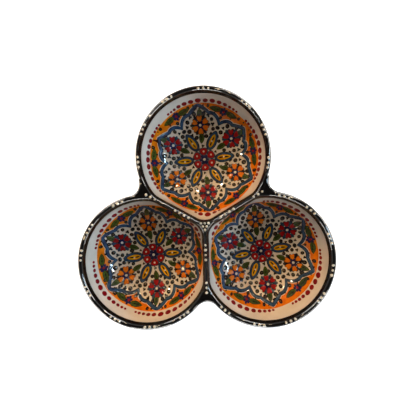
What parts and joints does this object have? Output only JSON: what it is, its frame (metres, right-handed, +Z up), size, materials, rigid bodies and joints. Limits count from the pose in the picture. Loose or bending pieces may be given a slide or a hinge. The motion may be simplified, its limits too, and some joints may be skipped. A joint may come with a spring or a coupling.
{
  "type": "divided serving bowl",
  "caption": "Trefoil serving dish: round bowls joined side by side under one rounded black lip, painted inside with flower medallions, for dips and snacks.",
  "frame": {"origin": "on the table, under the middle of the dish's outline", "axes": "+Z up, +Y from the front notch to the bowl at the back, +X to the right across the two front bowls"},
  "size_m": [0.23, 0.2156, 0.0586],
  "materials": {
    "white_glaze": "glossy clear glaze on white slip",
    "black_glaze": "glossy black glaze",
    "bare_clay": "unglazed, matt",
    "red_enamel": "red painted under clear glaze",
    "orange_enamel": "orange painted under clear glaze",
    "yellow_enamel": "yellow ochre painted under clear glaze",
    "blue_enamel": "steel blue painted under clear glaze",
    "navy_enamel": "dark blue painted under clear glaze",
    "green_enamel": "leaf green painted under clear glaze",
    "white_slip": "raised trailed dots, glossy"
  },
  "bodies": {
    "root": {"bowl_back": "white_glaze", "foot_ring_back": "bare_clay", "lip_back": "black_glaze", "lip_dots_back": "white_slip", "bowl_left": "white_glaze", "foot_ring_left": "bare_clay", "lip_left": "black_glaze", "lip_dots_left": "white_slip", "bowl_right": "white_glaze", "foot_ring_right": "bare_clay", "lip_right": "black_glaze", "lip_dots_right": "white_slip", "joint_web_front": "white_glaze", "divider_cap_front": "black_glaze", "notch_cap_front": "black_glaze", "divider_dots_front": "white_slip", "joint_web_left": "white_glaze", "divider_cap_left": "black_glaze", "notch_cap_left": "black_glaze", "divider_dots_left": "white_slip", "joint_web_right": "white_glaze", "divider_cap_right": "black_glaze", "notch_cap_right": "black_glaze", "divider_dots_right": "white_slip", "hub_cap": "black_glaze", "hub_dots": "white_slip"}
  },
  "joints": []
}
